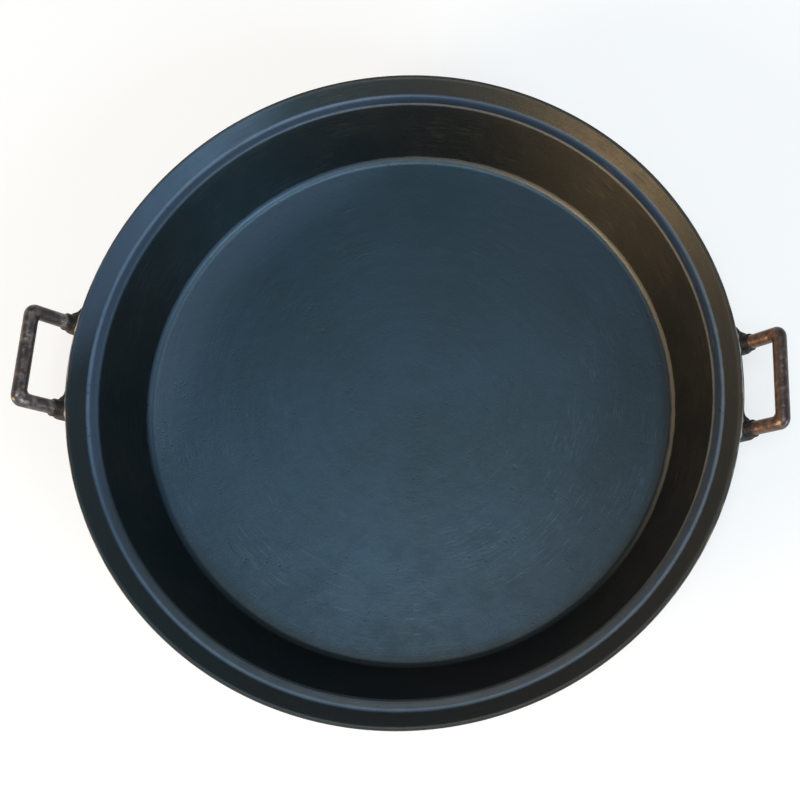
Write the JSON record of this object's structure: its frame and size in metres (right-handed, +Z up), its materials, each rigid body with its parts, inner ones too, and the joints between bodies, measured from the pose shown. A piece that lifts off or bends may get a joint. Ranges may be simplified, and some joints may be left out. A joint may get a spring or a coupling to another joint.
{
  "type": "cast iron griddle pan",
  "caption": "Deep round griddle pan of cast iron with a flat floor, a ledge inside its flared rim and upswept loop handles on opposite sides.",
  "frame": {"origin": "middle of the flat underside, on the surface that the pan stands on", "axes": "+Z up out of the bowl, +X from the left handle to the right handle, +Y towards the rear, which is the top of the picture"},
  "size_m": [0.5544, 0.5, 0.1033],
  "materials": {
    "pan_iron": "seasoned blue-black cast iron, satin",
    "handle_iron": "dark brown cast iron, worn satin",
    "bead_iron": "dark brown-black iron, rough"
  },
  "bodies": {
    "root": {"pan_body": "pan_iron", "left_handle": "handle_iron", "right_handle": "handle_iron", "left_front_root_bead": "bead_iron", "left_rear_root_bead": "bead_iron", "right_front_root_bead": "bead_iron", "right_rear_root_bead": "bead_iron"}
  },
  "joints": []
}
